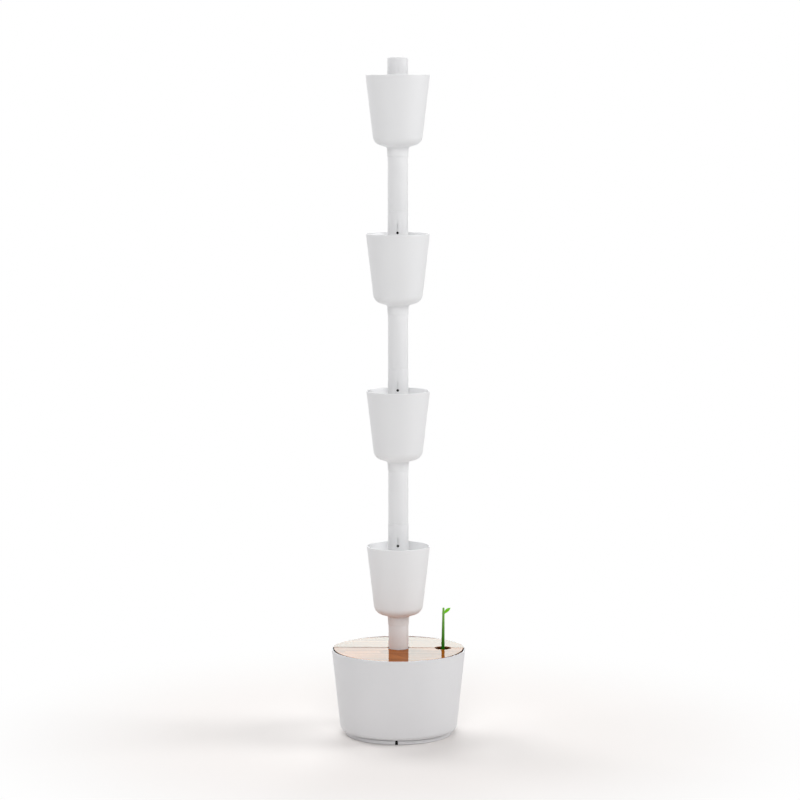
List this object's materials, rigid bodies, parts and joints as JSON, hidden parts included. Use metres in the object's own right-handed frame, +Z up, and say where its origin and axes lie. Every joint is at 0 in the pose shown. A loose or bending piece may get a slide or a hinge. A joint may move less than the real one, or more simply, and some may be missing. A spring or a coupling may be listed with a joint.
{
  "type": "vertical planter",
  "caption": "Self-watering vertical planter: round water reservoir with a split wooden lid, and tapered pots stacked on one slim column above it.",
  "frame": {"origin": "on the floor, at the centre of the foot ring, on the axis of the column", "axes": "+Z up along the column, -Y towards the front with the nozzles and the power inlet, +X towards the level indicator"},
  "size_m": [0.2677, 0.2678, 1.354],
  "materials": {
    "white_plastic": "satin white moulded plastic",
    "black_plastic": "black moulded plastic",
    "varnished_wood": "orange-brown wood under clear gloss varnish",
    "green_plastic": "leaf-green moulded plastic",
    "steel": "stainless steel",
    "rubber": "black rubber",
    "clear_hose": "milky silicone hose",
    "float_foam": "closed-cell foam",
    "rotor_plastic": "ivory moulded plastic",
    "ceramic_shaft": "ground ceramic"
  },
  "bodies": {
    "base": {"reservoir_tub": "white_plastic", "foot_ring": "white_plastic", "foot_screws": "steel", "power_inlet": "black_plastic", "floor_gland": "rubber", "pump_lead": "rubber", "column_stand": "white_plastic", "stand_screws": "steel", "pump_motor": "black_plastic", "pump_volute": "black_plastic", "pump_strainer": "black_plastic", "pump_shaft": "ceramic_shaft", "pump_feet": "rubber", "float_guide": "white_plastic"},
    "impeller": {"pump_impeller": "rotor_plastic"},
    "indicator": {"level_float": "float_foam", "sprout": "green_plastic"},
    "lid_front": {"front_lid": "varnished_wood"},
    "lid_rear": {"rear_lid": "varnished_wood"},
    "cap": {"end_cap": "white_plastic", "cap_elbow": "black_plastic", "drip_nozzle_4": "black_plastic"},
    "column_1": {"column_tube_1": "white_plastic", "riser_hose_1": "clear_hose"},
    "tier_1": {"pot_1": "white_plastic", "drip_coupling_1": "white_plastic", "drip_nozzle_1": "black_plastic", "hose_tee_1": "black_plastic"},
    "column_2": {"column_tube_2": "white_plastic", "riser_hose_2": "clear_hose"},
    "tier_2": {"pot_2": "white_plastic", "drip_coupling_2": "white_plastic", "drip_nozzle_2": "black_plastic", "hose_tee_2": "black_plastic"},
    "column_3": {"column_tube_3": "white_plastic", "riser_hose_3": "clear_hose"},
    "tier_3": {"pot_3": "white_plastic", "drip_coupling_3": "white_plastic", "drip_nozzle_3": "black_plastic", "hose_tee_3": "black_plastic"},
    "column_4": {"column_tube_4": "white_plastic", "riser_hose_4": "clear_hose"},
    "tier_4": {"pot_4": "white_plastic"}
  },
  "joints": [
    {"name": "impeller_spin", "type": "hinge", "parent": "base", "child": "impeller", "pos_m": [0, -0.011, 0.0355], "axis": [0, 1, 0], "continuous": true},
    {"name": "level_slide", "type": "slide", "parent": "base", "child": "indicator", "axis": [0, 0, 1], "range_m": [-0.075, 0]},
    {"name": "front_lid_lift", "type": "slide", "parent": "base", "child": "lid_front", "axis": [0, 0, 1], "range_m": [0, 0.045]},
    {"name": "rear_lid_lift", "type": "slide", "parent": "base", "child": "lid_rear", "axis": [0, 0, 1], "range_m": [0, 0.045]},
    {"name": "column_1_lift", "type": "slide", "parent": "base", "child": "column_1", "axis": [0, 0, 1], "range_m": [0, 0.08]},
    {"name": "pot_1_turn", "type": "hinge", "parent": "column_1", "child": "tier_1", "pos_m": [0, 0, 0.252], "axis": [0, 0, 1], "continuous": true},
    {"name": "column_2_lift", "type": "slide", "parent": "tier_1", "child": "column_2", "axis": [0, 0, 1], "range_m": [0, 0.05]},
    {"name": "pot_2_turn", "type": "hinge", "parent": "column_2", "child": "tier_2", "pos_m": [0, 0, 0.564], "axis": [0, 0, 1], "continuous": true},
    {"name": "column_3_lift", "type": "slide", "parent": "tier_2", "child": "column_3", "axis": [0, 0, 1], "range_m": [0, 0.05]},
    {"name": "pot_3_turn", "type": "hinge", "parent": "column_3", "child": "tier_3", "pos_m": [0, 0, 0.876], "axis": [0, 0, 1], "continuous": true},
    {"name": "column_4_lift", "type": "slide", "parent": "tier_3", "child": "column_4", "axis": [0, 0, 1], "range_m": [0, 0.05]},
    {"name": "pot_4_turn", "type": "hinge", "parent": "column_4", "child": "tier_4", "pos_m": [0, 0, 1.188], "axis": [0, 0, 1], "continuous": true},
    {"name": "cap_lift", "type": "slide", "parent": "tier_4", "child": "cap", "axis": [0, 0, 1], "range_m": [0, 0.05]}
  ]
}
